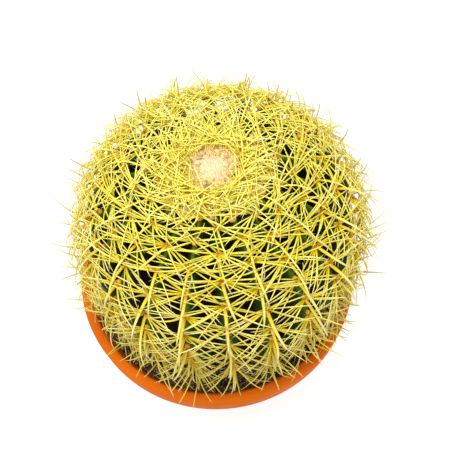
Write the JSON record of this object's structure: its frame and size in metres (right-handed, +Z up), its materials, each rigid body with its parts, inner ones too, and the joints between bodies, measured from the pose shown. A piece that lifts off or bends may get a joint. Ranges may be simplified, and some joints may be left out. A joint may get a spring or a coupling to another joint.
{
  "type": "potted round cactus",
  "caption": "Round ribbed cactus with rows of yellow spines and a woolly crown, growing in soil in a round orange plastic pot with a skirted rim.",
  "frame": {"origin": "centre of the pot's flat base, on the surface that it stands on", "axes": "+Z up through the plant's crown; -Y towards the side that faces the camera; +X to its right"},
  "size_m": [0.2586, 0.2561, 0.3316],
  "materials": {
    "pot_plastic": "smooth moulded orange plastic with a soft gloss",
    "soil": "loose dark peat soil with pale fibres and grit, fully matt",
    "cactus_skin": "waxy green plant skin, satin",
    "spine": "hard yellow spines, satin, golden at the base",
    "areole_felt": "short tan felt, fully matt",
    "crown_wool": "cream wool, fully matt"
  },
  "bodies": {
    "root": {"pot": "pot_plastic", "soil": "soil", "cactus_body": "cactus_skin", "spines": "spine"}
  },
  "joints": []
}
